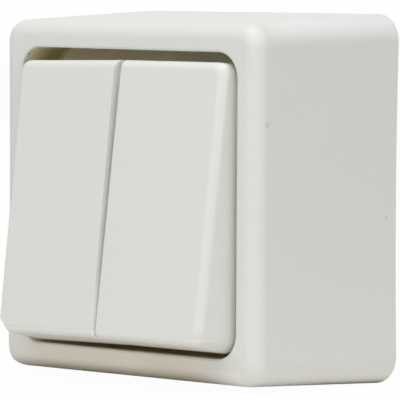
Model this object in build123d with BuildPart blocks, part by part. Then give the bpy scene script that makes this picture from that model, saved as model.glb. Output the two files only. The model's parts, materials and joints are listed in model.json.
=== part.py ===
from build123d import *
import os
from math import cos, radians, sin, tan

# Surface-mounted two-gang rocker switch. All sizes are millimetres.
# The origin is the centre of the wall face, +Y points into the wall, +Z is up and the rockers face -Y.
# A height is a distance from the wall towards the room.

# Housing cover
wall_side = 70.0
housing_depth = 37.5
side_lean = 1.63
wall_end_sink = 0.5
rim_end_sink = 0.25
outer_corner_r = 4.6
rim_fillet = 3.2
shell_wall = 2.2
front_wall = 2.4
rim_width = 5.08
opening_drop = 0.15
opening_corner_r = 4.3
opening_edge_r = 0.5
collar_depth = 11.0
collar_wall = 1.6
floor_thick = 1.6
window_corner_r = 2.0
window_margin = 2.0
breakout_width = 14.0
breakout_depth = 12.0
breakout_skin = 1.0

# Cover screws and the posts that take them
post_spacing = 42.0
post_r = 3.4
boss_r = 4.2
boss_length = 1.8
cover_screw_r = 1.45
cover_screw_grip = 12.0
cover_head_r = 2.9
cover_head_thick = 1.6
cover_head_round = 0.6

# Clearances shared by mating pieces
screw_clearance = 0.05
bore_clearance = 0.08
bearing_clearance = 0.05
seat_clearance = 0.2
head_clearance = 0.3
clip_play = 0.45
clip_slack = 0.3

# Rockers, measured in their own frame on the pivot axis
rest_tilt = 7.6
pivot_depth = 0.5
pivot_drop = 0.34
face_reach = 5.93
skirt_reach = 4.5
rocker_end_gap = 1.5
rocker_side_gap = 1.25
rocker_middle_gap = 0.9
end_draft = 4.0
rocker_corner_r = 3.0
rocker_edge_r = 1.7
rocker_inner_edge_r = 0.25
rocker_wall = 1.7
rocker_front_wall = 1.8
rib_thick = 1.2
rib_height = 1.4
rib_side_gap = 1.65
rib_end_gap = 4.3
clip_width = 7.0
clip_thick = 1.4
clip_barb = 1.2
clip_lead = 1.3

# The left cap sits loose on its clips: turned, rolled outwards, low and a little off its seat
left_cap_turn = 0.95
left_cap_roll = 1.3
left_cap_shift = 0.15
left_cap_drop = 0.29
left_cap_lift = 0.13

# Levers
saddle_half_width = 4.9
saddle_half_length = 6.0
saddle_thick = 2.1
hub_r = 2.6
trunnion_r = 1.6
nose_r = 3.0
nose_length = 11.0
nose_bore_end = 2.0

# Plungers and their springs
plunger_r = 1.82
plunger_back = 7.0
spring_wire_r = 0.3
spring_mean_r = 1.2
spring_turns = 4.0

# Bearing bridge
bridge_thick = 1.8
bridge_height = 30.0
bridge_corner_r = 2.0
tower_offset = 6.4
tower_thick = 2.0
tower_foot_half = 4.0
tower_neck_half = 2.9
tower_crown = 1.8
tower_mouth = 2.7
plunger_slot_width = 5.2
plunger_slot_length = 8.6
bridge_edge = 0.8
bridge_screw_spacing = 22.0
bridge_screw_r = 1.25
bridge_screw_length = 10.5
bridge_head_r = 2.5
countersink_angle = 90.0

# Wall base
base_thick = 2.6
base_clearance = 0.5
wall_slot_inset = 5.3
wall_slot_width = 4.2
wall_slot_length = 8.0
cable_entry_width = 14.0
cable_entry_height = 9.0
cable_entry_corner_r = 2.0
cable_entry_margin = 3.3
core_wall = 1.8
core_rib = 2.0
core_floor = 1.6
strip_level = 8.4
chamber_width = 8.4
chamber_wall = 1.6
stop_rib_z = 10.5
stop_rib_width = 2.4
stop_rib_thick = 1.4

# Terminal wells, clamp cages and their screws
terminal_inset = 9.7
well_wall = 1.4
well_top = 15.0
well_floor = 4.4
cage_width = 6.6
cage_length = 5.6
cage_height = 7.6
cage_wall = 0.9
cage_clearance = 0.4
terminal_screw_r = 1.5
terminal_head_r = 2.7
terminal_head_thick = 1.8
terminal_head_lift = 0.5

# Brass strips, blades and contact tips
strip_thick = 0.8
tongue_width = 4.4
tongue_overrun = 2.4
channel_clearance = 0.2
crossbar_width = 4.0
cradle_half_length = 3.0
cradle_rise = 2.0
cradle_notch_half = 1.3
cradle_gap = 0.3
blade_thick = 0.9
blade_width = 4.6
blade_arm = 11.5
blade_ear_half = 0.8
tip_distance = 9.5
tip_r = 1.6
tip_thick = 0.9
tip_shank_r = 0.8
tip_rivet_r = 1.2
tip_rivet_thick = 0.4
contact_pad_half = 2.6
contact_gap = 0.45
blade_clearance = 0.33

# Screw head slots
slot_width = 0.8
slot_depth = 0.8

# Heights above the wall
rim_height = housing_depth
floor_front = rim_height - collar_depth
floor_back = floor_front - floor_thick
bridge_front = floor_back - seat_clearance
bridge_back = bridge_front - bridge_thick
post_top = floor_back - boss_length
pivot_height = rim_height - pivot_depth
pivot_z = -pivot_drop

# Rocker sizes that follow from the opening
rim_side = wall_side - 2 * side_lean
opening_side = rim_side - 2 * rim_width
rocker_inner_x = rocker_middle_gap / 2
rocker_outer_x = opening_side / 2 - rocker_side_gap
rocker_width = rocker_outer_x - rocker_inner_x
gang_x = (rocker_outer_x + rocker_inner_x) / 2
skirt_half = opening_side / 2 - rocker_end_gap
face_half = skirt_half - (skirt_reach + face_reach) * tan(radians(end_draft))
saddle_front = face_reach - rocker_front_wall
saddle_back = saddle_front - saddle_thick
rib_offset = rocker_width / 2 - rocker_wall - rib_side_gap
rib_length = 2 * (face_half - rocker_wall - rib_end_gap)

# Contact level: the raised arm clears the bridge, and the plunger's round tip just clears the flat arm
blade_swing = 2 * rest_tilt
blade_rise = blade_arm * sin(radians(blade_swing)) + blade_thick * cos(radians(blade_swing))
fulcrum_height = bridge_back - blade_clearance - blade_rise
tip_drop = pivot_height - fulcrum_height - blade_thick - contact_gap - plunger_r
plunger_reach = plunger_r + tip_drop / cos(radians(rest_tilt))
pad_top = fulcrum_height - 2 * tip_thick
moving_tip_z = pivot_z - tip_distance

# Outlines that follow from the pieces they carry
gangs = (("left", -1), ("right", 1))
loose_seat = Pos(left_cap_shift, -left_cap_drop, left_cap_lift) * Rot(0, -left_cap_roll, left_cap_turn)
cap_seats = {"left": loose_seat, "right": Location()}
tower_reach = gang_x + tower_offset + tower_thick / 2
bridge_width = 2 * (tower_reach + bridge_edge)
window_width = bridge_width + window_margin
window_height = 2 * (tower_foot_half + pivot_drop + window_margin + nose_r)
base_side = wall_side - 2 * (shell_wall + base_clearance)
wall_slot_x = base_side / 2 - wall_slot_inset
terminal_z = base_side / 2 - terminal_inset
cable_entry_z = base_side / 2 - cable_entry_margin - cable_entry_height / 2
chamber_half = bridge_height / 2 - chamber_wall
core_width = (bridge_width - 2 * core_wall - 3 * core_rib) / 4
core_height = (bridge_height - 2 * core_wall - core_rib) / 2
strip_top = strip_level + strip_thick
strip_sides = (("left", -1, -1), ("right", 1, -1), ("common", 1, 1))
well_length = cage_length + 2 * cage_clearance
well_width = cage_width + 2 * cage_clearance
cage_top = well_floor + cage_height


def front_plane(height):
    """The plane parallel to the wall at this height, facing the room."""
    return Plane.XZ.offset(height)


def rest_plane(x):
    """A lever's frame at rest: on the pivot axis, facing out of the rocker, its top leaning to the wall."""
    lean = radians(rest_tilt)
    return Plane(origin=(x, -pivot_height, pivot_z), x_dir=(1, 0, 0), z_dir=(0, -cos(lean), sin(lean)))


def side_plane(frame, x):
    """The plane across a rocker's frame at a sideways distance x, with its axes up and to the front."""
    return Plane(origin=frame.origin + frame.x_dir * x, x_dir=frame.y_dir, z_dir=frame.x_dir)


def section_plane(x):
    """The upright plane across the switch at a sideways place x, with axes into the wall and up."""
    return Plane.YZ.offset(x)


def save(piece, name):
    """Label a finished piece and write it to its own file."""
    piece.label = name
    export_step(piece, f"parts/{name}.step")


def driver_slots(height, places, length):
    """The floors of the driver slots in the screw heads that end at this height."""
    with BuildSketch(front_plane(height - slot_depth)) as slots:
        with Locations(*places):
            Rectangle(length, slot_width)
    return slots.sketch


os.makedirs("parts", exist_ok=True)
post_places = [(0, post_spacing / 2), (0, -post_spacing / 2)]
bridge_screw_places = [(0, bridge_screw_spacing / 2), (0, -bridge_screw_spacing / 2)]
terminal_places = [(sign * gang_x, end * terminal_z) for name, sign, end in strip_sides]

# Housing cover: a leaning hood with sunken flanks, a soft rim, a collar round the rockers and a floor behind them
with BuildPart() as housing_cover:
    for height, half, sink in ((0, wall_side / 2, wall_end_sink), (rim_height, rim_side / 2, rim_end_sink)):
        with BuildSketch(front_plane(height)) as outline:
            with BuildLine():
                Line((-half, half), (half, half))
                ThreePointArc((half, half), (half - sink, 0), (half, -half))
                Line((half, -half), (-half, -half))
                ThreePointArc((-half, -half), (sink - half, 0), (-half, half))
            make_face()
            fillet(outline.vertices(), outer_corner_r)
    loft(ruled=True)
    fillet(housing_cover.faces().sort_by(Axis.Y)[0].edges(), rim_fillet)
    inner_lean = side_lean * (rim_height - front_wall) / rim_height
    inner_side = wall_side - 2 * shell_wall
    for height, side in ((0, inner_side), (rim_height - front_wall, inner_side - 2 * inner_lean)):
        with BuildSketch(front_plane(height)):
            RectangleRounded(side, side, outer_corner_r - shell_wall)
    loft(ruled=True, mode=Mode.SUBTRACT)
    with BuildSketch(front_plane(floor_back)):
        collar_side = opening_side + 2 * collar_wall
        with Locations((0, -opening_drop)):
            RectangleRounded(collar_side, collar_side, opening_corner_r + collar_wall)
    extrude(amount=rim_height - front_wall / 2 - floor_back)
    with BuildSketch(front_plane(post_top)):
        with Locations(*post_places):
            Circle(boss_r)
    extrude(amount=boss_length)
    with BuildSketch(front_plane(floor_front)):
        with Locations((0, -opening_drop)):
            RectangleRounded(opening_side, opening_side, opening_corner_r)
    extrude(amount=collar_depth, mode=Mode.SUBTRACT)
    with BuildSketch(front_plane(floor_back)):
        RectangleRounded(window_width, window_height, window_corner_r)
    extrude(amount=floor_thick, mode=Mode.SUBTRACT)
    with Locations(front_plane(floor_front)):
        with Locations(*post_places):
            CounterBoreHole(
                radius=cover_screw_r + screw_clearance,
                counter_bore_radius=cover_head_r + head_clearance,
                counter_bore_depth=cover_head_thick,
                depth=floor_thick + boss_length,
            )
    with BuildSketch(front_plane(0)):
        breakout_top = wall_side / 2 - side_lean * breakout_depth / rim_height - breakout_skin
        breakout_z = breakout_top - shell_wall / 2
        with Locations((0, breakout_z), (0, -breakout_z)):
            Rectangle(breakout_width, shell_wall)
    extrude(amount=breakout_depth, mode=Mode.SUBTRACT)
    opening_edge = housing_cover.faces().sort_by(Axis.Y)[0].inner_wires()[0].edges()
    fillet(opening_edge, opening_edge_r)
save(housing_cover.part, "housing_cover")

# Rockers: hollow caps with drafted ends, a soft outer edge and two clips for the lever
for gang, sign in gangs:
    frame = Plane(rest_plane(sign * gang_x).location * cap_seats[gang])
    outward = Axis.X if sign > 0 else Axis.X.reverse()
    forward = Axis(frame.origin, frame.z_dir)
    with BuildPart() as rocker:
        with BuildSketch(side_plane(frame, -rocker_width / 2)):
            with BuildLine():
                Polyline(
                    (-skirt_half, -skirt_reach),
                    (skirt_half, -skirt_reach),
                    (face_half, face_reach),
                    (-face_half, face_reach),
                    close=True,
                )
            make_face()
        extrude(amount=rocker_width)
        outer_face = rocker.faces().sort_by(outward)[-1]
        fillet(outer_face.edges().sort_by(SortBy.LENGTH)[:2], rocker_corner_r)
        front_face = rocker.faces().sort_by(forward)[-1]
        fillet(front_face.edges().sort_by(outward)[1:], rocker_edge_r)
        inner_face = rocker.faces().sort_by(outward)[0]
        fillet(inner_face.edges().sort_by(forward)[1:], rocker_inner_edge_r)
        with BuildSketch(side_plane(frame, rocker_wall - rocker_width / 2)):
            with BuildLine():
                Polyline(
                    (rocker_wall - skirt_half, -skirt_reach),
                    (skirt_half - rocker_wall, -skirt_reach),
                    (face_half - rocker_wall, saddle_front),
                    (rocker_wall - face_half, saddle_front),
                    close=True,
                )
            make_face()
        extrude(amount=rocker_width - 2 * rocker_wall, mode=Mode.SUBTRACT)
        with BuildSketch(frame.offset(saddle_front - rib_height)):
            with Locations((-rib_offset, 0), (rib_offset, 0)):
                Rectangle(rib_thick, rib_length)
        extrude(amount=rib_height)
        with BuildSketch(side_plane(frame, -clip_width / 2)):
            clip_inside = saddle_half_length + clip_play
            barb_top = saddle_back - clip_slack
            with BuildLine():
                Polyline(
                    (clip_inside, saddle_front),
                    (clip_inside, barb_top),
                    (clip_inside - clip_barb, barb_top),
                    (clip_inside, barb_top - clip_lead),
                    (clip_inside + clip_thick, barb_top - clip_lead),
                    (clip_inside + clip_thick, saddle_front),
                    close=True,
                )
            make_face()
            mirror(about=Plane.YZ)
        extrude(amount=clip_width)
    save(rocker.part, f"{gang}_rocker")

# Levers: a saddle for the cap, trunnions for the bridge and a nose that guides the plunger
for gang, sign in gangs:
    frame = rest_plane(sign * gang_x)
    with BuildPart() as lever:
        with BuildSketch(side_plane(frame, -saddle_half_width)):
            with Locations((0, (saddle_front + saddle_back) / 2)):
                Rectangle(2 * saddle_half_length, saddle_thick)
            Circle(hub_r)
        extrude(amount=2 * saddle_half_width)
        trunnion_half = tower_offset + tower_thick / 2
        with BuildSketch(side_plane(frame, -trunnion_half)):
            Circle(trunnion_r)
        extrude(amount=2 * trunnion_half)
        with BuildSketch(frame.offset(-nose_length)):
            Circle(nose_r)
        extrude(amount=nose_length)
        with BuildSketch(frame.offset(-nose_length)):
            Circle(plunger_r + bore_clearance)
        extrude(amount=nose_length - nose_bore_end, mode=Mode.SUBTRACT)
    save(lever.part, f"{gang}_lever")

# Plungers: round-nosed pins in the levers
for gang, sign in gangs:
    frame = rest_plane(sign * gang_x)
    with BuildPart() as plunger:
        with BuildSketch(frame.offset(-plunger_reach + plunger_r)):
            Circle(plunger_r)
        extrude(amount=plunger_reach - plunger_r - plunger_back)
        with Locations(frame.offset(-plunger_reach + plunger_r)):
            Sphere(plunger_r)
    save(plunger.part, f"{gang}_plunger")

# Springs: coils between the lever's bore and the plunger's back
for gang, sign in gangs:
    frame = rest_plane(sign * gang_x)
    with BuildPart() as spring:
        spring_height = plunger_back - nose_bore_end - 2 * spring_wire_r
        foot = frame.offset(-plunger_back + spring_wire_r)
        with BuildLine(foot) as coil:
            Helix(
                pitch=spring_height / spring_turns,
                height=spring_height,
                radius=spring_mean_r,
                direction=frame.z_dir,
            )
        with BuildSketch(Plane(origin=coil.line @ 0, z_dir=coil.line % 0)):
            Circle(spring_wire_r)
        sweep(path=coil.line, is_frenet=True)
    save(spring.part, f"{gang}_spring")

# Bearing bridge: a plate on the contact chambers with four forked towers for the trunnions
with BuildPart() as bearing_bridge:
    with BuildSketch(front_plane(bridge_back)):
        RectangleRounded(bridge_width, bridge_height, bridge_corner_r)
    extrude(amount=bridge_thick)
    for sign in (-1, 1):
        for offset in (-tower_offset, tower_offset):
            with BuildSketch(section_plane(sign * gang_x + offset - tower_thick / 2)):
                tower_top = pivot_height + tower_crown
                with BuildLine():
                    Polyline(
                        (-bridge_front, pivot_z - tower_foot_half),
                        (-pivot_height, pivot_z - tower_neck_half),
                        (-tower_top, pivot_z - tower_neck_half),
                        (-tower_top, pivot_z + tower_neck_half),
                        (-pivot_height, pivot_z + tower_neck_half),
                        (-bridge_front, pivot_z + tower_foot_half),
                        close=True,
                    )
                make_face()
                with Locations((-pivot_height, pivot_z)):
                    Circle(trunnion_r + bearing_clearance, mode=Mode.SUBTRACT)
                with Locations((-pivot_height - tower_crown / 2, pivot_z)):
                    Rectangle(tower_crown, tower_mouth, mode=Mode.SUBTRACT)
            extrude(amount=tower_thick)
    with BuildSketch(front_plane(bridge_back)):
        with Locations((-gang_x, pivot_z), (gang_x, pivot_z)):
            RectangleRounded(plunger_slot_width, plunger_slot_length, plunger_slot_width / 2 - seat_clearance)
    extrude(amount=bridge_thick, mode=Mode.SUBTRACT)
    with Locations(front_plane(bridge_front)):
        with Locations(*bridge_screw_places):
            CounterSinkHole(
                radius=bridge_screw_r + screw_clearance,
                counter_sink_radius=bridge_head_r + screw_clearance,
                depth=bridge_thick,
                counter_sink_angle=countersink_angle,
            )
save(bearing_bridge.part, "bearing_bridge")

# Wall base: a plate with wall-screw slots and cable entry, posts, cored contact chambers and terminal wells
with BuildPart() as wall_base:
    with BuildSketch(front_plane(0)):
        RectangleRounded(base_side, base_side, outer_corner_r - shell_wall)
    extrude(amount=base_thick)
    with BuildSketch(front_plane(base_thick)):
        RectangleRounded(bridge_width, bridge_height, bridge_corner_r)
    extrude(amount=bridge_back - base_thick)
    with BuildSketch(front_plane(base_thick)):
        for x, z in terminal_places:
            reach = terminal_z + well_length / 2 + well_wall
            with Locations((x, (reach if z > 0 else -reach) / 2)):
                Rectangle(well_width + 2 * well_wall, reach)
    extrude(amount=well_top - base_thick)
    with BuildSketch(front_plane(base_thick)):
        with Locations(*post_places):
            Circle(post_r)
    extrude(amount=post_top - base_thick)
    with BuildSketch(front_plane(strip_level)):
        with Locations((-gang_x, 0), (gang_x, 0)):
            Rectangle(chamber_width, 2 * chamber_half)
        with Locations((0, pivot_z)):
            Rectangle(2 * gang_x, crossbar_width + 2 * channel_clearance)
        for x, z in terminal_places:
            with Locations((x, z / 2)):
                Rectangle(tongue_width + 2 * channel_clearance, terminal_z)
    extrude(amount=bridge_back - strip_level, mode=Mode.SUBTRACT)
    with BuildSketch(front_plane(well_floor)):
        with Locations(*terminal_places):
            Rectangle(well_width, well_length)
    extrude(amount=bridge_back - well_floor, mode=Mode.SUBTRACT)
    with BuildSketch(front_plane(well_floor + cage_wall)):
        for x, z in terminal_places:
            wire_door = well_length / 2 + well_wall / 2
            with Locations((x, z + wire_door if z > 0 else z - wire_door)):
                Rectangle(tongue_width, well_wall)
    extrude(amount=strip_level - well_floor - cage_wall, mode=Mode.SUBTRACT)
    with BuildSketch(front_plane(fulcrum_height - contact_gap - stop_rib_thick)):
        with Locations((-gang_x, stop_rib_z), (gang_x, stop_rib_z)):
            Rectangle(chamber_width, stop_rib_width)
    extrude(amount=stop_rib_thick)
    with BuildSketch(front_plane(0)):
        with Locations((-wall_slot_x, 0), (wall_slot_x, 0)):
            SlotOverall(wall_slot_length, wall_slot_width)
        with Locations((-gang_x, cable_entry_z)):
            RectangleRounded(cable_entry_width, cable_entry_height, cable_entry_corner_r)
    extrude(amount=base_thick, mode=Mode.SUBTRACT)
    with BuildSketch(front_plane(0)):
        with GridLocations(core_width + core_rib, core_height + core_rib, 4, 2):
            Rectangle(core_width, core_height)
    extrude(amount=strip_level - core_floor, mode=Mode.SUBTRACT)
    with Locations(front_plane(post_top)):
        with Locations(*post_places):
            Hole(radius=cover_screw_r + screw_clearance, depth=cover_screw_grip)
    with Locations(front_plane(bridge_back)):
        with Locations(*bridge_screw_places):
            Hole(radius=bridge_screw_r + screw_clearance, depth=bridge_screw_length)
save(wall_base.part, "wall_base")

# Cover screws: pan heads in the hood's counterbores
with BuildPart() as cover_screws:
    head_back = floor_front - cover_head_thick
    shank_end = post_top - cover_screw_grip + head_clearance
    with BuildSketch(front_plane(head_back)):
        with Locations(*post_places):
            Circle(cover_head_r)
    extrude(amount=cover_head_thick)
    fillet(cover_screws.edges().group_by(Axis.Y)[0], cover_head_round)
    with BuildSketch(front_plane(shank_end)):
        with Locations(*post_places):
            Circle(cover_screw_r)
    extrude(amount=head_back - shank_end)
    slots = driver_slots(floor_front, post_places, 2 * cover_head_r)
    extrude(slots, amount=slot_depth, mode=Mode.SUBTRACT)
save(cover_screws.part, "cover_screws")

# Bridge screws: countersunk heads flush with the bridge
with BuildPart() as bridge_screws:
    head_drop = bridge_head_r - bridge_screw_r
    shank_end = bridge_back - bridge_screw_length + head_clearance
    with BuildSketch(front_plane(shank_end)):
        with Locations(*bridge_screw_places):
            Circle(bridge_screw_r)
    extrude(amount=bridge_front - shank_end)
    with Locations(front_plane(bridge_front - head_drop / 2)):
        with Locations(*bridge_screw_places):
            Cone(bottom_radius=bridge_screw_r, top_radius=bridge_head_r, height=head_drop)
    slots = driver_slots(bridge_front, bridge_screw_places, 2 * bridge_head_r)
    extrude(slots, amount=slot_depth, mode=Mode.SUBTRACT)
save(bridge_screws.part, "bridge_screws")

# Contact blades: see-saws bent at the fulcrum, the lower arm flat at rest and the upper one raised
for gang, sign in gangs:
    raised = radians(blade_swing)
    bend = tan(raised / 2) * blade_thick
    with BuildPart() as blade:
        for arm, half_width in (
            (blade_arm, blade_width / 2),
            (blade_ear_half, chamber_width / 2 - cradle_gap),
        ):
            with BuildSketch(section_plane(sign * gang_x - half_width)):
                with BuildLine():
                    Polyline(
                        (-fulcrum_height, pivot_z),
                        (-fulcrum_height, pivot_z - arm),
                        (-fulcrum_height - blade_thick, pivot_z - arm),
                        (-fulcrum_height - blade_thick, pivot_z - bend),
                        (
                            -fulcrum_height - arm * sin(raised) - blade_thick * cos(raised),
                            pivot_z + arm * cos(raised) - blade_thick * sin(raised),
                        ),
                        (-fulcrum_height - arm * sin(raised), pivot_z + arm * cos(raised)),
                        close=True,
                    )
                make_face()
            extrude(amount=2 * half_width)
        with Locations(front_plane(fulcrum_height + blade_thick)):
            with Locations((sign * gang_x, moving_tip_z)):
                Hole(radius=tip_shank_r + screw_clearance, depth=blade_thick)
    save(blade.part, f"{gang}_contact_blade")

# Contact tips: flat rivets, the moving ones under the blades and the fixed ones on the strips
for gang, sign in gangs:
    for kind, head_base, plate_far in (
        ("moving", fulcrum_height - tip_thick, fulcrum_height + blade_thick),
        ("fixed", pad_top, pad_top - strip_thick),
    ):
        with BuildPart() as tip:
            rivet_base = plate_far if plate_far > head_base else plate_far - tip_rivet_thick
            levels = (
                (tip_r, head_base, tip_thick),
                (tip_shank_r, min(head_base, rivet_base), abs(rivet_base - head_base)),
                (tip_rivet_r, rivet_base, tip_rivet_thick),
            )
            for radius, base, length in levels:
                with BuildSketch(front_plane(base)):
                    with Locations((sign * gang_x, moving_tip_z)):
                        Circle(radius)
                extrude(amount=length)
        save(tip.part, f"{gang}_{kind}_tip")

# Contact strips: from the switched terminals up to the fixed contacts
for gang, sign in gangs:
    with BuildPart() as strip:
        tongue_end = -terminal_z - tongue_overrun
        riser_z = moving_tip_z - contact_pad_half
        with BuildSketch(section_plane(sign * gang_x - tongue_width / 2)):
            with BuildLine():
                Polyline(
                    (-strip_level, tongue_end),
                    (-strip_top, tongue_end),
                    (-strip_top, riser_z - strip_thick),
                    (-pad_top, riser_z - strip_thick),
                    (-pad_top, moving_tip_z + contact_pad_half),
                    (strip_thick - pad_top, moving_tip_z + contact_pad_half),
                    (strip_thick - pad_top, riser_z),
                    (-strip_level, riser_z),
                    close=True,
                )
            make_face()
        extrude(amount=tongue_width)
        with Locations(front_plane(pad_top)):
            with Locations((sign * gang_x, moving_tip_z)):
                Hole(radius=tip_shank_r + screw_clearance, depth=strip_thick)
    save(strip.part, f"{gang}_contact_strip")

# Common strip: a bar under both blades, with a notched cradle at each and one terminal tongue
with BuildPart() as common_strip:
    cheek_outer = chamber_width / 2 - channel_clearance
    with BuildSketch(front_plane(strip_level)):
        with Locations((0, pivot_z)):
            Rectangle(2 * gang_x, crossbar_width)
        with Locations((-gang_x, pivot_z), (gang_x, pivot_z)):
            Rectangle(2 * cheek_outer, 2 * cradle_half_length)
        tongue_length = terminal_z + tongue_overrun - pivot_z
        with Locations((gang_x, pivot_z + tongue_length / 2)):
            Rectangle(tongue_width, tongue_length)
    extrude(amount=strip_thick)
    for sign in (-1, 1):
        for cheek_x in (-cheek_outer, cheek_outer - strip_thick):
            with BuildSketch(section_plane(sign * gang_x + cheek_x)):
                cheek_height = fulcrum_height + cradle_rise - strip_level
                with Locations((-strip_level - cheek_height / 2, pivot_z)):
                    Rectangle(cheek_height, 2 * cradle_half_length)
                with Locations((-fulcrum_height - cradle_rise / 2, pivot_z)):
                    Rectangle(cradle_rise, 2 * cradle_notch_half, mode=Mode.SUBTRACT)
            extrude(amount=strip_thick)
save(common_strip.part, "common_strip")

# Clamp cages: folded steel tubes round the terminal tongues
for (name, sign, end), (x, z) in zip(strip_sides, terminal_places):
    with BuildPart() as clamp:
        with BuildSketch(front_plane(well_floor)):
            with Locations((x, z)):
                Rectangle(cage_width, cage_length)
        extrude(amount=cage_height)
        with BuildSketch(front_plane(well_floor + cage_wall)):
            with Locations((x, z)):
                Rectangle(cage_width - 2 * cage_wall, cage_length)
        extrude(amount=cage_height - 2 * cage_wall, mode=Mode.SUBTRACT)
        with Locations(front_plane(cage_top)):
            with Locations((x, z)):
                Hole(radius=terminal_screw_r + screw_clearance, depth=cage_wall)
    save(clamp.part, f"{name}_clamp")

# Terminal screws: through the cages onto the tongues
with BuildPart() as terminal_screws:
    head_base = cage_top + terminal_head_lift
    for radius, base, length in (
        (terminal_screw_r, strip_top, head_base - strip_top),
        (terminal_head_r, head_base, terminal_head_thick),
    ):
        with BuildSketch(front_plane(base)):
            with Locations(*terminal_places):
                Circle(radius)
        extrude(amount=length)
    slots = driver_slots(head_base + terminal_head_thick, terminal_places, 2 * terminal_head_r)
    extrude(slots, amount=slot_depth, mode=Mode.SUBTRACT)
save(terminal_screws.part, "terminal_screws")
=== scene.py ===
# %% [markdown]
# A surface-mounted light switch, dressed for its picture
#
# The solids of the switch come from its drawing: a square hood, two rockers, the base on the wall and the
# mechanism between them. This lesson gives them their finishes, softens what the eye sees first, and sets
# up the camera and the light. Everything is in metres. The wall is at y = 0, the rockers face -Y and +Z
# is up.

# %% Load the solids
import json
import math
from functools import reduce
from operator import mul

import bpy
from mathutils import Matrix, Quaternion, Vector

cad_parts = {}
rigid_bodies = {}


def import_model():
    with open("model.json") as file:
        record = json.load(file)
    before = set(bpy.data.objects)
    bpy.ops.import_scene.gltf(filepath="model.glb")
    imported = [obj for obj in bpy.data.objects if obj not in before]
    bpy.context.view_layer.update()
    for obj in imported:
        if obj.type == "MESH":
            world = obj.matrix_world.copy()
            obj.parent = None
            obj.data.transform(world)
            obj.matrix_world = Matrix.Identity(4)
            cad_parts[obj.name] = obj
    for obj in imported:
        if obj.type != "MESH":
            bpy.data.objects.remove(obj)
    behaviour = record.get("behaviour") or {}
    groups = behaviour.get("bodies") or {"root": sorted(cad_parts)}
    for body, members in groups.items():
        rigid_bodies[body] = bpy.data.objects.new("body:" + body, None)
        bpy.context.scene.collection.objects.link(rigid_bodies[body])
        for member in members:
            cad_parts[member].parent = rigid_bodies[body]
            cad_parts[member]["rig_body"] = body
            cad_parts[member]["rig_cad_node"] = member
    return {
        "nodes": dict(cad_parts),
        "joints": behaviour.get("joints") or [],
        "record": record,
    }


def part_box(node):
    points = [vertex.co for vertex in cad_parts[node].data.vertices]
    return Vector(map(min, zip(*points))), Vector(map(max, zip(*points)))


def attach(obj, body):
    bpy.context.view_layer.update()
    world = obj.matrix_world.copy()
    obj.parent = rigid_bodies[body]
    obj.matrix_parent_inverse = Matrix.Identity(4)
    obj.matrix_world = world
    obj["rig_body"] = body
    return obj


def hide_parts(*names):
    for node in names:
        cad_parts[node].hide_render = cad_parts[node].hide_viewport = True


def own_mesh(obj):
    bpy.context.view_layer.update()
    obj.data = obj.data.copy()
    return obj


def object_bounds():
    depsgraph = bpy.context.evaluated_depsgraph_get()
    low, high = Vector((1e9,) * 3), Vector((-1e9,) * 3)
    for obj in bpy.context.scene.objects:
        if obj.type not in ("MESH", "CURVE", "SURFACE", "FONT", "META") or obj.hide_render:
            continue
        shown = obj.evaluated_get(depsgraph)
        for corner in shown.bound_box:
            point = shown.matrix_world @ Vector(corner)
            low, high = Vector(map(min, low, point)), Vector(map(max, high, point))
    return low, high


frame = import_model()
solid_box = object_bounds()
nodes = frame["nodes"]

# %% [markdown]
# The camera
#
# The switch is seen from its right and a little from above, with a long lens, so its upright edges stay
# nearly parallel. Here the camera stands on a line from the middle of the hood at that yaw and rise, looks
# back along it, and rolls by the small angle that the picture leans. A lens shift puts the switch at its
# place in the frame.

# %% Camera
AIM = Vector((0.0, -0.0185, 0.0))
DISTANCE = 0.784
YAW = math.radians(43.66)
RISE = math.radians(3.10)
ROLL = math.radians(0.307)
LENS_MM = 369.1
SENSOR_MM = 36.0
SHIFT_ACROSS = 0.0101
SHIFT_UP = -0.0104

away = Vector((math.sin(YAW) * math.cos(RISE), -math.cos(YAW) * math.cos(RISE), math.sin(RISE)))
bpy.ops.object.select_all(action="DESELECT")
bpy.ops.object.camera_add(location=AIM + away * DISTANCE)
camera = bpy.context.object
camera.name = "picture_camera"
camera.rotation_mode = "QUATERNION"
camera.rotation_quaternion = away.to_track_quat("Z", "Y") @ Quaternion((0, 0, 1), ROLL)
camera.data.lens = LENS_MM
camera.data.sensor_width = SENSOR_MM
camera.data.shift_x = SHIFT_ACROSS
camera.data.shift_y = SHIFT_UP
bpy.context.scene.camera = camera
print("camera at", [round(c, 3) for c in camera.location])

# %% [markdown]
# Writing finishes as sums
#
# A finish is a small network of nodes. Wiring it by hand takes many lines, so one class stands for the
# output of a node: plain arithmetic on it adds Math nodes, and its node method makes any other node, sets
# it up and links it. A few helpers then name the nodes that come back in every finish.

# %% The socket class
class Tone:
    """An output in a finish's network. Arithmetic on it adds Math nodes."""

    def __init__(self, tree, output=None):
        self.tree = tree
        self.output = output

    def node(self, kind, settings=None, inputs=None, output=0):
        """Make a node of any kind, set it up, link its inputs, and give one of its outputs."""
        made = self.tree.nodes.new(kind)
        for name, value in (settings or {}).items():
            setattr(made, name, value)
        for name, value in (inputs or {}).items():
            if isinstance(value, Tone):
                self.tree.links.new(value.output, made.inputs[name])
            else:
                made.inputs[name].default_value = value
        return Tone(self.tree, made.outputs[output] if len(made.outputs) else None)

    def math(self, operation, first, second=0.0):
        """A Math node on one value or two."""
        return self.node("ShaderNodeMath", {"operation": operation}, {0: first, 1: second})

    def __add__(self, other):
        return self.math("ADD", self, other)

    def __radd__(self, other):
        return self.math("ADD", other, self)

    def __sub__(self, other):
        return self.math("SUBTRACT", self, other)

    def __rsub__(self, other):
        return self.math("SUBTRACT", other, self)

    def __mul__(self, other):
        return self.math("MULTIPLY", self, other)

    def __rmul__(self, other):
        return self.math("MULTIPLY", other, self)


print("sums ready")

# %% Finish helpers
MIX_SHARE = 0
MIX_FIRST = 6
MIX_SECOND = 7
MIX_COLOUR = 2


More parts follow.
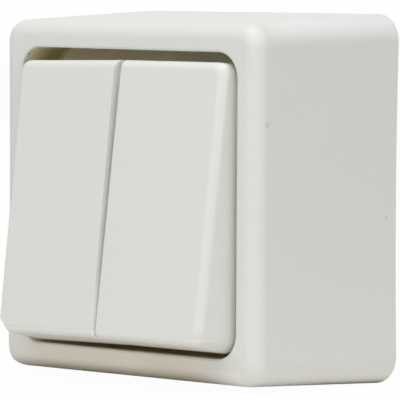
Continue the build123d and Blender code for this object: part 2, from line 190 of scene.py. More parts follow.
def new_finish(name):
    """An empty finish, and a Tone to start its network from."""
    finish = bpy.data.materials.new(name)
    finish.use_nodes = True
    finish.node_tree.nodes.clear()
    return finish, Tone(finish.node_tree)


def place(start):
    """The point of the surface, in metres, as the solids are drawn."""
    return start.node("ShaderNodeTexCoord", output="Object")


def noise(start, at, scale, detail):
    """Soft random clouds from 0 to 1, about 1 / scale metres apart."""
    return start.node("ShaderNodeTexNoise", {}, {"Vector": at, "Scale": scale, "Detail": detail})


def stretch(start, at, scale):
    """The same place, drawn out so that a pattern runs in streaks."""
    return start.node("ShaderNodeMapping", {}, {"Vector": at, "Scale": scale})


def blend(start, amount, first, second):
    """A colour between two colours."""
    sockets = {MIX_SHARE: amount, MIX_FIRST: first, MIX_SECOND: second}
    return start.node("ShaderNodeMix", {"data_type": "RGBA"}, sockets, output=MIX_COLOUR)


def bump(start, height, depth):
    """The normal of a surface with a relief of this depth in metres."""
    return start.node("ShaderNodeBump", {}, {"Height": height, "Distance": depth, "Strength": 1.0})


def close(start, shader):
    """End the network in the material's output."""
    start.node("ShaderNodeOutputMaterial", {}, {"Surface": shader})


print("finish helpers ready")

# %% [markdown]
# Zones of painted light and shade
#
# Some places of the switch are painted lighter, darker or warmer than its plastic, to stand in for the
# light and shade that fall there: in the recess, on edges, between the rockers and along the foot. They
# could be painted on a picture of the surface, but here each one is a zone, a product of soft steps. A step
# goes along x, y, z or another length, from where it is down to where it is up. Zones are told by where a
# point lies in the drawing, so they stay on their piece when it moves.

# %% Soft steps
def ramp(start, value, low, high, least=0.0):
    """A soft step from its least, where the value is low, to 1, where it is high."""
    return start.node(
        "ShaderNodeMapRange",
        {"interpolation_type": "SMOOTHSTEP"},
        {"Value": value, "From Min": low, "From Max": high, "To Min": least, "To Max": 1.0},
    )


def axes(start, at):
    """The three coordinates of a place."""
    parts = start.node("ShaderNodeSeparateXYZ", {}, {"Vector": at})
    return [Tone(start.tree, parts.output.node.outputs[axis]) for axis in "XYZ"]


def zone(start, lengths, steps):
    """1 where all of these steps are up, 0 where one of them is down."""
    return reduce(mul, [ramp(start, lengths[length], *span) for length, *span in steps])


print("zone helpers ready")

# %% [markdown]
# The hood's painted light and shade
#
# The recess behind the rockers is painted in warm shade, darkest on its left wall and brown on its lower
# ledge, and its floor is painted lighter. The sill in front of it is painted in warm light, with painted
# shade towards its right and painted light at its lower right corner. Painted shadows run along the lines
# on which the hood stands. The opening's right wall and the long edge at the top carry painted light, a
# little lighter than the hood's own white. Three grains of dust stuck to it. A later zone lies over an
# earlier one, so the order counts.

# %% Hood zones
OPENING_REACH = 0.0300
WALL_HALF = 0.0350
SIDE_SLOPE = 0.0435


def hood_lengths(start, at):
    """The lengths that tell where a point lies on the hood."""
    x, y, z = axes(start, at)
    off_middle = start.math("ABSOLUTE", z)
    off_centre = start.math("MAXIMUM", start.math("ABSOLUTE", x), off_middle)
    return {
        "x": x,
        "y": y,
        "z": z,
        "off_middle": off_middle,
        "in_opening": start.math("LESS_THAN", off_centre, OPENING_REACH),
        "above_floor": z + WALL_HALF + y * SIDE_SLOPE,
    }


# Each step names its length, then says where it is down and where it is up.
front = ("y", -0.0330, -0.0345)
off_corners = ("off_middle", 0.0290, 0.0280)
# Painted warm light on the sill below the opening, and painted shade towards its right.
sill = [("x", -0.0300, -0.0240), ("x", 0.0270, 0.0140), ("z", -0.0276, -0.0292), front]
sill_right_painted_shade = sill + [("x", 0.0000, 0.0100), ("x", 0.0240, 0.0180)]
# Painted light on the rim's lower right corner.
low_corner_painted_light = [("x", 0.0190, 0.0260), ("x", 0.0315, 0.0285), ("z", -0.0300, -0.0316), front]
# A painted shadow along the foot of the front.
foot_painted_shadow = [("x", 0.0280, 0.0140), ("z", -0.0310, -0.0338), front]
# Painted warm shade in the recess, painted light on its floor, and darker painted shade on its left wall
# and on its lower ledge.
recess = [("in_opening", 0.0, 1.0), ("x", 0.0281, 0.0265), ("y", -0.0370, -0.0345)]
recess_floor_painted_light = recess + [("y", -0.0279, -0.0275)]
left_wall_painted_shade = recess + [("x", -0.0258, -0.0264), ("y", -0.0275, -0.0279), ("y", -0.0350, -0.0305)]
ledge_painted_shade = recess + [("z", -0.0275, -0.0281)]
# Painted light on the opening's right wall and edge.
right_wall_painted_light = [("x", 0.0279, 0.0282), ("x", 0.0290, 0.0287), ("y", -0.0374, -0.0370), off_corners]
# A painted shadow along the foot of the right side.
heel_painted_shadow = [("above_floor", 0.0010, 0.0002), ("x", 0.0290, 0.0310), ("y", -0.0280, -0.0140)]
# A painted highlight on the long edge at the top right.
top_edge_painted_highlight = [("z", 0.0300, 0.0316), ("z", 0.0346, 0.0334), ("x", 0.0295, 0.0310), ("y", -0.0345, -0.0290)]
# Every colour in this list is painted light or shade.
hood_painted_light_and_shade = [
    (sill, (0.87, 0.80, 0.685, 1)),
    (sill_right_painted_shade, (0.815, 0.74, 0.625, 1)),
    (low_corner_painted_light, (0.89, 0.84, 0.76, 1)),
    (foot_painted_shadow, (0.44, 0.40, 0.30, 1)),
    (recess, (0.88, 0.76, 0.465, 1)),
    (recess_floor_painted_light, (0.96, 0.865, 0.61, 1)),
    (left_wall_painted_shade, (0.64, 0.57, 0.24, 1)),
    (ledge_painted_shade, (0.95, 0.72, 0.36, 1)),
    (right_wall_painted_light, (0.90, 0.89, 0.79, 1)),
    (heel_painted_shadow, (0.52, 0.51, 0.46, 1)),
    (top_edge_painted_highlight, (0.80, 0.79, 0.73, 1)),
]
hood_specks = [
    {"spot": (-0.0271, -0.0367, 0.02681), "size": 0.00040, "tint": (0.36, 0.33, 0.16, 1)},
    {"spot": (0.03327, -0.03455, 0.01477), "size": 0.00075, "tint": (0.66, 0.65, 0.59, 1)},
    {"spot": (0.03441, -0.00270, -0.00319), "size": 0.00045, "tint": (0.60, 0.59, 0.54, 1)},
]
print("hood zones:", len(hood_painted_light_and_shade), "specks:", len(hood_specks))

# %% [markdown]
# The rockers' painted light and shade
#
# The rockers carry less of it. The turn above their rounded lower ends is painted lighter, and the ends
# themselves a little darker. The walls that face each other and the right rocker's flank, most of all
# inside the hood, are painted lighter, and a thin painted shade runs along the line between the two, over
# the highlight of their edges. That line is askew, and so is the left rocker's lower edge, so these zones
# are told by how far a point lies beside the line, behind the tilted face or above that edge.

# %% Rocker zones
FACE_REACH = 0.00593
PIVOT_Y = -0.037
PIVOT_Z = -0.00034
REST_TILT = math.radians(7.6)
LINE_X = 0.000075
LINE_SLOPE = 0.0083
LINE_HALF = 0.000375
LEFT_PROUD = 0.00043
LOWER_SLOPE = 0.025
LINE_SHADE_LEAST = 0.20


def rocker_lengths(start, at):
    """The lengths that tell where a point lies on a rocker."""
    x, y, z = axes(start, at)
    middle = LINE_X - z * LINE_SLOPE
    half = LINE_HALF + z * LINE_SLOPE
    behind = FACE_REACH + (y - PIVOT_Y) * math.cos(REST_TILT) - (z - PIVOT_Z) * math.sin(REST_TILT)
    return {
        "x": x,
        "y": y,
        "z": z,
        "beside_line": start.math("ABSOLUTE", x - middle) - half,
        "behind_face": behind + start.math("LESS_THAN", x, middle) * LEFT_PROUD,
        "level": z - start.math("MINIMUM", x, 0.0) * LOWER_SLOPE,
    }


# The painted shade along the line fades towards its lower end, but no further than its least.
near_line = ("beside_line", 0.00040, 0.00022)
seam_painted_shade = [near_line, ("behind_face", 0.00040, 0.00015), ("z", -0.0240, -0.0080, LINE_SHADE_LEAST)]
# Painted light on the walls that face each other, paler still near their lower end.
between = [near_line, ("behind_face", 0.00015, 0.00040)]
low_between_painted_light = between + [("behind_face", 0.0012, 0.0008), ("z", -0.0100, -0.0220), ("z", -0.0252, -0.0244)]
# Painted light on the right rocker's flank, paler still where it lies inside the hood.
flank_painted_light = [("x", 0.0265, 0.0270)]
gap_wall_painted_light = flank_painted_light + [("y", -0.0378, -0.0366), ("y", -0.0340, -0.0356)]
# Painted light on the turn above the lower end, and painted shade on the end.
lower_turn_painted_light = [("level", -0.0239, -0.0243), ("level", -0.0251, -0.0247)]
lower_end_painted_shade = [("level", -0.0247, -0.0254), ("x", 0.0262, 0.0242)]
# Every colour in this list is painted light or shade.
rocker_painted_light_and_shade = [
    (lower_turn_painted_light, (0.82, 0.81, 0.745, 1)),
    (lower_end_painted_shade, (0.755, 0.74, 0.665, 1)),
    (flank_painted_light, (0.795, 0.785, 0.725, 1)),
    (gap_wall_painted_light, (0.87, 0.865, 0.795, 1)),
    (between, (0.85, 0.845, 0.79, 1)),
    (low_between_painted_light, (0.99, 0.98, 0.93, 1)),
    (seam_painted_shade, (0.66, 0.65, 0.59, 1)),
]
print("rocker zones:", len(rocker_painted_light_and_shade))

# %% [markdown]
# Moulded plastic
#
# The hood and the rockers are moulded in a satin cream-white plastic, the base in a dull grey one and the
# mechanism in an ivory one. None is one flat colour: the melt leaves faint clouds, the tool leaves a very
# fine grain, and long flat walls sink a little as they cool, which makes the reflections wander. All of
# that is noise at different sizes, and the zones of painted light and shade and the specks of dust are
# laid over it.

# %% Plastic recipe
CLOUD_SCALE = 60.0
CLOUD_DETAIL = 4.0
CLOUD_GLOSS = 0.10
GRAIN_SCALE = 2400.0
GRAIN_DETAIL = 3.0
GRAIN_GLOSS = 0.06
SINK_SCALE = 45.0
SINK_DETAIL = 0.0
SINK_DEPTH = 0.00006
NOISE_MIDDLE = 0.5
SPECK_CORE = 0.4
PLASTIC_IOR = 1.5


def speck(start, at, spot, size):
    """1 on a grain of dust at this spot, 0 elsewhere."""
    ends = {0: at, 1: spot}
    distance = start.node("ShaderNodeVectorMath", {"operation": "DISTANCE"}, ends, output="Value")
    return ramp(start, distance, size, size * SPECK_CORE)


def moulded(name, light, shade, gloss, grain_depth, lengths=None, zones=(), specks=()):
    """A moulded plastic between two close colours, with a fine grain, painted light and shade, and specks.
    """
    finish, start = new_finish(name)
    at = place(start)
    clouds = noise(start, at, CLOUD_SCALE, CLOUD_DETAIL)
    grain = noise(start, at, GRAIN_SCALE, GRAIN_DETAIL)
    sink = noise(start, at, SINK_SCALE, SINK_DETAIL)
    colour = blend(start, clouds, light, shade)
    known = lengths(start, at) if zones else {}
    for steps, tint in zones:
        colour = blend(start, zone(start, known, steps), colour, tint)
    for dust in specks:
        colour = blend(start, speck(start, at, dust["spot"], dust["size"]), colour, dust["tint"])
    wander = (clouds - NOISE_MIDDLE) * CLOUD_GLOSS
    shader = start.node(
        "ShaderNodeBsdfPrincipled",
        {},
        {
            "Base Color": colour,
            "Roughness": gloss + wander + (grain - NOISE_MIDDLE) * GRAIN_GLOSS,
            "Normal": bump(start, grain * grain_depth + sink * SINK_DEPTH, 1.0),
            "IOR": PLASTIC_IOR,
        },
    )
    close(start, shader)
    return finish


print("plastic recipe ready, grain per metre:", GRAIN_SCALE)

# %% Plastic finishes
cover_finish = moulded(
    "cover_white",
    light=(0.76, 0.75, 0.69, 1),
    shade=(0.74, 0.73, 0.665, 1),
    gloss=0.50,
    grain_depth=0.000004,
    lengths=hood_lengths,
    zones=hood_painted_light_and_shade,
    specks=hood_specks,
)
rocker_finish = moulded(
    "rocker_white",
    light=(0.765, 0.755, 0.695, 1),
    shade=(0.745, 0.735, 0.67, 1),
    gloss=0.46,
    grain_depth=0.000003,
    lengths=rocker_lengths,
    zones=rocker_painted_light_and_shade,
)
base_finish = moulded(
    "base_grey",
    light=(0.50, 0.50, 0.47, 1),
    shade=(0.45, 0.45, 0.42, 1),
    gloss=0.55,
    grain_depth=0.000012,
)
ivory_finish = moulded(
    "mechanism_ivory",
    light=(0.62, 0.58, 0.46, 1),
    shade=(0.57, 0.53, 0.41, 1),
    gloss=0.48,
    grain_depth=0.000008,
)
print("plastics:", cover_finish.name, rocker_finish.name, base_finish.name, ivory_finish.name)

# %% [markdown]
# Metals
#
# The strips and blades are rolled brass, the contact rivets are a dull silver, and the screws, cages and
# springs are zinc-plated steel. Scratches could be modelled, but rolled and plated metal mostly shows
# streaks along one way, and for those it is enough to draw the noise out.

# %% Metal recipe
STREAK_DETAIL = 3.0
STREAK_GLOSS = 0.16
STREAK_DEPTH = 0.000006
TARNISH_SCALE = 180.0
TARNISH_DETAIL = 4.0
TARNISH_GLOSS = 0.12


def rolled(name, bright, dull, gloss, streak):
    """A metal with streaks along one way and a slight tarnish."""
    finish, start = new_finish(name)
    at = place(start)
    streaks = noise(start, stretch(start, at, streak), 1.0, STREAK_DETAIL)
    tarnish = noise(start, at, TARNISH_SCALE, TARNISH_DETAIL)
    shader = start.node(
        "ShaderNodeBsdfPrincipled",
        {},
        {
            "Base Color": blend(start, tarnish, bright, dull),
            "Metallic": 1.0,
            "Roughness": gloss + streaks * STREAK_GLOSS + (tarnish - NOISE_MIDDLE) * TARNISH_GLOSS,
            "Normal": bump(start, streaks, STREAK_DEPTH),
        },
    )
    close(start, shader)
    return finish


print("metal recipe ready, streak depth in mm:", STREAK_DEPTH * 1000)

# %% Metal finishes
brass_finish = rolled(
    "brass",
    bright=(0.80, 0.60, 0.27, 1),
    dull=(0.66, 0.46, 0.18, 1),
    gloss=0.22,
    streak=(300.0, 300.0, 4000.0),
)
silver_finish = rolled(
    "contact_silver",
    bright=(0.80, 0.79, 0.75, 1),
    dull=(0.62, 0.60, 0.55, 1),
    gloss=0.30,
    streak=(900.0, 900.0, 900.0),
)
steel_finish = rolled(
    "zinc_steel",
    bright=(0.66, 0.68, 0.70, 1),
    dull=(0.52, 0.53, 0.54, 1),
    gloss=0.26,
    streak=(1500.0, 300.0, 1500.0),
)
print("metals:", brass_finish.name, silver_finish.name, steel_finish.name)

# %% [markdown]
# Every solid's finish
#
# The record says which material each solid is made of. The solids could be picked by hand, but going
# through the record forgets none of them. The solids' own shapes stay as they are.

# %% Give every solid its finish
finishes = {
    "cover_white": cover_finish,
    "rocker_white": rocker_finish,
    "base_grey": base_finish,
    "mechanism_ivory": ivory_finish,
    "brass": brass_finish,
    "contact_silver": silver_finish,
    "zinc_steel": steel_finish,
}
for part in frame["record"]["subparts"]:
    solid = nodes[part["node"]]
    for held in solid.material_slots:
        held.material = finishes[part["material_slot"]]

# %% [markdown]
# The hood and the rockers, smoothed
#
# The drawing's solids come in as loose triangles, each face shaded on its own, so a soft edge shows a faint
# line where it meets a flat wall. Here each of the three outer pieces is copied and its triangles are
# joined. Later its normals are weighted by the size of the faces, so the walls stay flat and the rounded
# edges flow into them.

# %% Smooth copies
WELD = 0.000002
FLAT_ANGLE = math.radians(0.2)
SMOOTH_ANGLE = math.radians(32.0)


def choose(piece):
    """Make this the one selected object."""
    bpy.ops.object.select_all(action="DESELECT")
    piece.select_set(True)
    bpy.context.view_layer.objects.active = piece


def joined_copy(node, name):
    """A copy of a solid with its triangles joined and its flat walls in one face each."""
    piece = nodes[node].copy()
    piece.data = nodes[node].data.copy()
    piece.name = name
    piece.parent = None
    bpy.context.collection.objects.link(piece)
    choose(piece)
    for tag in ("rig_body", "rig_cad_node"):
        del piece[tag]
    bpy.ops.mesh.customdata_custom_splitnormals_clear()
    bpy.ops.object.mode_set(mode="EDIT")
    bpy.ops.mesh.select_all(action="SELECT")
    bpy.ops.mesh.remove_doubles(threshold=WELD)
    bpy.ops.mesh.dissolve_limited(angle_limit=FLAT_ANGLE)
    bpy.ops.object.mode_set(mode="OBJECT")
    return piece


def settle(piece, node, body):
    """Let the normals flow over the rounded edges, and put the copy in its solid's place."""
    choose(piece)
    bpy.ops.object.shade_smooth_by_angle(angle=SMOOTH_ANGLE)
    weighting = piece.modifiers.new("weighted", "WEIGHTED_NORMAL")
    weighting.keep_sharp = True
    bpy.ops.object.modifier_apply(modifier=weighting.name)
    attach(piece, body)
    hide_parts(node)
    print(piece.name, "faces:", len(piece.data.polygons))


hood = joined_copy("housing_cover", "hood")
left_cap = joined_copy("left_rocker", "left_cap")
right_cap = joined_copy("right_rocker", "right_cap")
print("copies:", hood.name, left_cap.name, right_cap.name)

# %% [markdown]
# Nudging corners
#
# A moulding never matches its drawing to the tenth of a millimetre. The drawing could be redone for that,
# but moving a few vertices of the copies is quicker. They are chosen by their place. A single corner is
# nudged: the vertex at its middle moves, and a soft fall-off takes its neighbours along. A rounding grows
# when it is spread about the sharp corner that it was cut from.

# %% Corner tools
SAME_SPOT = 0.000001


def pick(piece, wanted):
    """Open the piece for editing with the vertices selected whose place passes the test."""
    choose(piece)
    bpy.ops.object.mode_set(mode="EDIT")
    bpy.ops.mesh.select_mode(type="VERT")
    bpy.ops.mesh.select_all(action="DESELECT")
    bpy.ops.object.mode_set(mode="OBJECT")
    for corner in piece.data.vertices:
        corner.select = wanted(corner.co)
    bpy.ops.object.mode_set(mode="EDIT")


def spread(piece, wanted, factors, middle, shift=(0.0, 0.0, 0.0)):
    """Spread or press the vertices that pass the test about a middle, then move them."""
    pick(piece, wanted)
    bpy.ops.transform.resize(value=factors, center_override=middle)
    bpy.ops.transform.translate(value=shift)
    bpy.ops.object.mode_set(mode="OBJECT")
    print(piece.name, "spread by", factors, "about", [round(c * 1000, 1) for c in middle], "mm")


def move(piece, wanted, shift):
    """Move the vertices that pass the test."""
    pick(piece, wanted)
    bpy.ops.transform.translate(value=shift)
    bpy.ops.object.mode_set(mode="OBJECT")
    print(piece.name, "moved by", [round(c * 1000, 2) for c in shift], "mm")


def nudge(piece, spot, shift, reach):
    """Move the vertex nearest to a spot, and less and less those within reach of it."""
    places = [corner.co.copy() for corner in piece.data.vertices]
    nearest = min(places, key=lambda at: (at - Vector(spot)).length)
    pick(piece, lambda at: (at - nearest).length < SAME_SPOT)
    bpy.ops.transform.translate(
        value=shift, use_proportional_edit=True, proportional_edit_falloff="SMOOTH", proportional_size=reach
    )
    bpy.ops.object.mode_set(mode="OBJECT")
    print(piece.name, "corner at", [round(c * 1000, 1) for c in nearest], "mm moved")


print("corner tools ready")

# %% [markdown]
# The rockers' corners
#
# On this switch the left rocker ends a little sooner at its outer edge, and its lower left corner is
# rounder. The upper outer corners of both are a little sharper than drawn, and the right rocker's lower end
# hangs a trace lower. Pressing the whole edge and nudging single corners leaves the flat faces as they are.

# %% Rocker corners
EDGE_START = -0.0240
EDGE_PRESS = 0.858
END_START = -0.0230
END_DROP = 0.00008

spread(left_cap, lambda at: at.x < EDGE_START, (EDGE_PRESS, 1.0, 1.0), (EDGE_START, 0.0, 0.0))
nudge(left_cap, spot=(-0.0250, -0.0450, -0.0250), shift=(0.00045, 0.00009, 0.00066), reach=0.0020)
nudge(left_cap, spot=(-0.0258, -0.0438, -0.0258), shift=(0.00010, 0.00004, 0.00040), reach=0.0024)
nudge(left_cap, spot=(-0.0258, -0.0388, 0.0248), shift=(-0.00034, 0.00002, 0.00018), reach=0.0022)
nudge(right_cap, spot=(0.0262, -0.0381, 0.0253), shift=(0.00026, 0.00003, 0.00026), reach=0.0022)
move(right_cap, lambda at: at.z < END_START, (0.0, 0.0, -END_DROP))
settle(left_cap, "left_rocker", "left_rocker")
settle(right_cap, "right_rocker", "right_rocker")

# %% [markdown]
# The hood's corners
#
# The opening's right corners are rounder than drawn and sit a trace low, its upper left corner sits a trace
# high, the rim at the left is a little wider, and the right corners at the wall are rounder. At the wall
# only the outer skin moves, so the inside of the hood stays as drawn.

# %% Hood corners
OPENING_HALF = 0.02829
OPENING_DROP = 0.00015
OPENING_BACK = -0.0260
ROUNDING_FROM = 0.0235
ROUNDING_TO = 0.0292
RIM_LEFT = -0.0295
RIM_BACK = -0.0300
RIM_SHIFT = -0.00022
BACK_FROM = 0.0300
BACK_DEPTH = -0.0020
BACK_SKIN = 0.0016


def shift_corner(across, up, shift, growth):
    """Let the rounding of one of the opening's corners grow out of the sharp corner, and move it."""
    def in_corner(at):
        beside = ROUNDING_FROM < across * at.x < ROUNDING_TO
        level = ROUNDING_FROM < up * at.z < ROUNDING_TO
        return beside and level and at.y < OPENING_BACK

    sharp = (across * OPENING_HALF, 0.0, up * OPENING_HALF - OPENING_DROP)
    spread(hood, in_corner, (growth, 1.0, growth), sharp, shift)


def round_back(up, growth):
    """Let the rounding of the hood's right corner at the wall grow out of the sharp corner."""
    far_x = max(corner.co.x for corner in hood.data.vertices)
    far_z = max(up * corner.co.z for corner in hood.data.vertices)

    def on_skin(at):
        near_corner = at.x > BACK_FROM and up * at.z > BACK_FROM and at.y > BACK_DEPTH
        return near_corner and min(far_x - at.x, far_z - up * at.z) < BACK_SKIN

    spread(hood, on_skin, (growth, 1.0, growth), (far_x, 0.0, up * far_z))


shift_corner(across=-1, up=1, shift=(0.0, 0.0, 0.00010), growth=1.0)
shift_corner(across=1, up=1, shift=(-0.00012, 0.0, -0.00010), growth=1.15)
shift_corner(across=1, up=-1, shift=(-0.00014, 0.0, -0.00012), growth=1.14)
move(hood, lambda at: at.x < RIM_LEFT and at.y < RIM_BACK, (RIM_SHIFT, 0.0, 0.0))
nudge(hood, spot=(-0.0318, -0.0360, -0.0318), shift=(-0.00025, 0.0, -0.00025), reach=0.0030)
nudge(hood, spot=(-0.0318, -0.0360, 0.0318), shift=(-0.00015, 0.0, 0.00015), reach=0.0030)
round_back(up=-1, growth=1.16)
round_back(up=1, growth=1.08)
settle(hood, "housing_cover", "housing")

# %% [markdown]
# The springs
#
# A small coil spring sits behind each plunger, in the tube of its lever. When the plunger is pushed in, the
# real spring shortens by as much. Here each coil is copied and smoothed like the outer pieces and put on
# its rocker, and its length along the plunger's line is measured against the plunger's travel; the coil
# keeps its drawn length.

# %% Springs
for side in ("left", "right"):
    coil = joined_copy(side + "_spring", side + "_coil")
    settle(coil, side + "_spring", side + "_rocker")
    slide = next(joint for joint in frame["joints"] if joint["name"] == side + "_plunger_slide")
    line = Vector(slide["axis"]).normalized()
    seat = max((corner.co for corner in coil.data.vertices), key=line.dot)
    free_end = min((corner.co for corner in coil.data.vertices), key=line.dot)
    length = line.dot(seat - free_end)
    travel = slide["range_m"][1]
    1.0 - travel / length
    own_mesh(coil)
    print(coil.name, "length in mm:", round(length * 1000, 2), "travel in mm:", round(travel * 1000, 2))

# %% [markdown]
# The parts of a screw
#
# The drawing's screws have plain shanks. A real thread could be cut out of the shank, but a screw is easier
# to build up: a slim core, a small triangle wound round it with the Screw modifier, and a head whose driver
# slot a boolean cuts out. The thread's crest stays at the plain shank's radius, so the screw still fits its
# hole.

# %% Screw parts
SLOT = 0.0008
CUTTER_HEIGHT = 2 * SLOT
CUTTER_RADII = 3
HEAD_SIDES = 40
HEAD_ROUNDING_STEPS = 5
CORE_SIDES = 24
CORE_SHARE = 0.45
RIDGE_SHARE = 0.49
TURN_STEPS = 24
QUARTER_TURN = math.radians(90.0)


def drum(low, high, low_r, high_r, sides):
    """An upright drum or cone between two heights."""
    bpy.ops.object.select_all(action="DESELECT")
    middle = (0.0, 0.0, (low + high) / 2)
    bpy.ops.mesh.primitive_cone_add(
        vertices=sides, radius1=low_r, radius2=high_r, depth=high - low, location=middle
    )
    bpy.ops.object.transform_apply(location=True)
    return bpy.context.object


def ridge(low, high, crest_r, pitch):
    """A thread's ridge: a triangle with its point outwards, wound up round the Z axis."""
    bpy.ops.object.select_all(action="DESELECT")
    size = RIDGE_SHARE * pitch
    bpy.ops.mesh.primitive_circle_add(
        vertices=3,
        radius=size,
        location=(crest_r - size, 0.0, low + pitch / 2),
        rotation=(0.0, QUARTER_TURN, -QUARTER_TURN),
    )
    wound = bpy.context.object
    bpy.ops.object.transform_apply(location=True, rotation=True)
    turning = wound.modifiers.new("wound", "SCREW")
    turning.axis = "Z"
    turning.screw_offset = pitch
    turning.iterations = int((high - low) / pitch) - 1
    turning.steps = TURN_STEPS
    turning.render_steps = TURN_STEPS
    bpy.ops.object.modifier_apply(modifier=turning.name)
    bpy.ops.object.mode_set(mode="EDIT")
    bpy.ops.mesh.select_all(action="SELECT")
    bpy.ops.mesh.fill_holes(sides=3)
    bpy.ops.mesh.normals_make_consistent(inside=False)
    bpy.ops.object.mode_set(mode="OBJECT")
    return wound


def slotted_head(low, high, low_r, high_r, rounding):
    """A screw head with a rounded top edge, if wanted, and a driver slot across it."""
    head = drum(low, high, low_r, high_r, HEAD_SIDES)
    if rounding:
        pick(head, lambda at: at.z > (low + high) / 2)
        bpy.ops.mesh.bevel(offset=rounding, segments=HEAD_ROUNDING_STEPS, affect="EDGES")
        bpy.ops.object.mode_set(mode="OBJECT")
    bpy.ops.object.select_all(action="DESELECT")
    bpy.ops.mesh.primitive_cube_add(
        size=1.0, location=(0.0, 0.0, high), scale=(CUTTER_RADII * high_r, SLOT, CUTTER_HEIGHT)
    )
    cutter = bpy.context.object
    choose(head)
    cut = head.modifiers.new("slot", "BOOLEAN")
    cut.operation = "DIFFERENCE"
    cut.object = cutter
    bpy.ops.object.modifier_apply(modifier=cut.name)
    bpy.data.objects.remove(cutter)
    return head


print("screw parts ready, slot in mm:", round(SLOT * 1000, 2))

# %% [markdown]
# The screws in their places
#
# Two pan-head screws hold the hood, two countersunk ones hold the bridge, and three hold the wires. Each
# kind is modelled once, upright, then laid down with its head to the room, copied to its places and joined.
# The places come from the boxes of the drawing's own screws, so they can't drift from it.

# %% Screw builder
SCREW_ANGLE = math.radians(35.0)


def screws(node, head_r, neck_r, head_thick, rounding, shank_r, pitch, places):
    """The screws of one solid, each at a place (x, z) on the wall's plane."""
    near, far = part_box(node)
    tip = -far.y
    top = -near.y
    seat = top - head_thick
    core_r = shank_r - CORE_SHARE * pitch
    model = slotted_head(seat, top, neck_r, head_r, rounding)
    core = drum(tip, seat, core_r, core_r, CORE_SIDES)
    thread = ridge(tip, seat, shank_r, pitch)
    choose(model)
    for extra in (core, thread):
        extra.select_set(True)
    bpy.ops.object.join()
    copies = []
    for x, z in places:
        copy = model.copy()
        copy.data = model.data.copy()
        bpy.context.collection.objects.link(copy)
        copy.location = (x, 0.0, z)
        copy.rotation_euler = (QUARTER_TURN, 0.0, 0.0)
        copies.append(copy)
    bpy.data.objects.remove(model)
    choose(copies[0])
    for copy in copies:
        copy.select_set(True)
    bpy.ops.object.transform_apply(location=True, rotation=True)
    bpy.ops.object.join()
    piece = bpy.context.object
    piece.name = node + "_threaded"
    bpy.ops.object.shade_smooth_by_angle(angle=SCREW_ANGLE)
    piece.data.materials.clear()
    piece.data.materials.append(steel_finish)
    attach(piece, "housing")
    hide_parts(node)
    print(piece.name, "faces:", len(piece.data.polygons))


far_corner = {node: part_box(node)[1] for node in ("cover_screws", "bridge_screws", "terminal_screws")}
print("highest screw in mm:", {node: round(corner.z * 1000, 1) for node, corner in far_corner.items()})

# %% Screws
COVER_HEAD = 0.0029
BRIDGE_HEAD = 0.0025
TERMINAL_HEAD = 0.0027

cover_z = far_corner["cover_screws"].z - COVER_HEAD
screws(
    "cover_screws",
    head_r=COVER_HEAD,
    neck_r=COVER_HEAD,
    head_thick=0.0016,
    rounding=0.0006,
    shank_r=0.00145,
    pitch=0.0011,
    places=[(0.0, cover_z), (0.0, -cover_z)],
)
bridge_z = far_corner["bridge_screws"].z - BRIDGE_HEAD
screws(
    "bridge_screws",
    head_r=BRIDGE_HEAD,
    neck_r=BRIDGE_HEAD / 2,
    head_thick=BRIDGE_HEAD / 2,
    rounding=0.0,
    shank_r=BRIDGE_HEAD / 2,
    pitch=0.0010,
    places=[(0.0, bridge_z), (0.0, -bridge_z)],
)
clamp_x = far_corner["terminal_screws"].x - TERMINAL_HEAD
clamp_z = far_corner["terminal_screws"].z - TERMINAL_HEAD
screws(
    "terminal_screws",
    head_r=TERMINAL_HEAD,
    neck_r=TERMINAL_HEAD,
    head_thick=0.0018,
    rounding=0.0,
    shank_r=0.0015,
    pitch=0.0005,
    places=[(-clamp_x, -clamp_z), (clamp_x, -clamp_z), (clamp_x, clamp_z)],
)

# %% [markdown]
# The floor
#
# The switch stands on a plain white sheet. To the camera the sheet is white by its own glow, with a little
# of the true paper mixed in, so that the switch keeps a faint shadow. A strip beside the switch also glows
# on the hood's right side, as a white card laid there would. Another lamp could do that, but it would
# brighten the pale walls above as well.

# %% Floor
FLOOR_SIZE = 4.0
FIBRE_SCALE = 300.0
FIBRE_DETAIL = 3.0
PAPER_LIGHT = (0.90, 0.88, 0.84, 1)
PAPER_SHADE = (0.88, 0.86, 0.82, 1)
WHITE = (1, 1, 1, 1)
SEEN_WHITE = 0.97
STRIP_NEAR = (0.030, 0.036)
STRIP_FAR = (0.120, 0.050)
STRIP_GLOW = 0.5

floor_height = solid_box[0].z
bpy.ops.object.select_all(action="DESELECT")
bpy.ops.mesh.primitive_plane_add(size=FLOOR_SIZE, location=(0.0, 0.0, floor_height))
sweep = bpy.context.object
sweep.name = "white_sweep"
bpy.ops.object.transform_apply(location=True, rotation=True, scale=True)

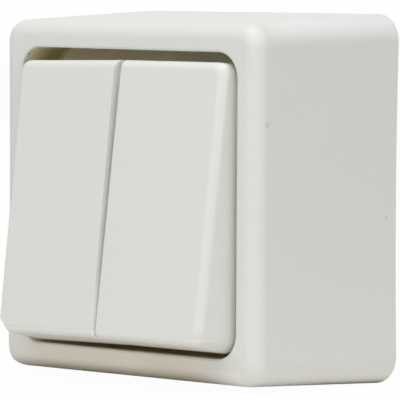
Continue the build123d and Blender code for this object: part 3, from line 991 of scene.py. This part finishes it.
paper, start = new_finish("white_paper")
at = place(start)
fibre = noise(start, at, FIBRE_SCALE, FIBRE_DETAIL)
surface = start.node("ShaderNodeBsdfDiffuse", {}, {"Color": blend(start, fibre, PAPER_LIGHT, PAPER_SHADE)})
glow = start.node("ShaderNodeEmission", {}, {"Color": WHITE, "Strength": 1.0})
seen = start.node("ShaderNodeLightPath", output="Is Camera Ray")
across = axes(start, at)[0]
beside = ramp(start, across, *STRIP_NEAR) * ramp(start, across, *STRIP_FAR)
share = start.math("MAXIMUM", seen * SEEN_WHITE, beside * STRIP_GLOW)
close(start, start.node("ShaderNodeMixShader", {}, {0: share, 1: surface, 2: glow}))
sweep.data.materials.append(paper)
print("floor at z =", round(floor_height, 4))

# %% [markdown]
# The light
#
# The light is soft: three wide square lamps, one above, one in front and one at the right, in a pale room.
# Small lamps would be simpler to place, but they would draw hard shadows in the slots. The room is white to
# the camera and in reflections, and lights the switch only weakly.

# %% Light
DAYLIGHT = (0.97, 1.0, 1.06)
ROOM_STRENGTH = 0.27


def soft_lamp(name, spot, size, power):
    """A square lamp at this spot, turned to the switch."""
    bpy.ops.object.select_all(action="DESELECT")
    bpy.ops.object.light_add(type="AREA", location=spot)
    lamp = bpy.context.object
    lamp.name = name
    lamp.rotation_mode = "QUATERNION"
    lamp.rotation_quaternion = (Vector(spot) - AIM).to_track_quat("Z", "Y")
    lamp.data.size = size
    lamp.data.energy = power
    lamp.data.color = DAYLIGHT


soft_lamp("top_lamp", spot=(0.1, -0.25, 1.0), size=0.9, power=7.55)
soft_lamp("front_lamp", spot=(0.29, -1.06, 0.47), size=0.8, power=3.05)
soft_lamp("side_lamp", spot=(1.15, -0.3, 0.15), size=0.8, power=2.6)

world = bpy.data.worlds.new("bright_room")
bpy.context.scene.world = world
world.use_nodes = True
world.node_tree.nodes.clear()
start = Tone(world.node_tree)
seen = start.node("ShaderNodeLightPath", output="Is Camera Ray")
mirrored = start.node("ShaderNodeLightPath", output="Is Glossy Ray")
room = start.node("ShaderNodeBackground", {}, {"Color": (*DAYLIGHT, 1), "Strength": ROOM_STRENGTH})
white = start.node("ShaderNodeBackground", {}, {"Color": WHITE, "Strength": 1.0})
share = start.math("MAXIMUM", seen, mirrored)
shown = start.node("ShaderNodeMixShader", {}, {0: share, 1: room, 2: white})
start.node("ShaderNodeOutputWorld", {}, {"Surface": shown})
bpy.context.scene.view_settings.view_transform = "Standard"
print("lamps and room set")
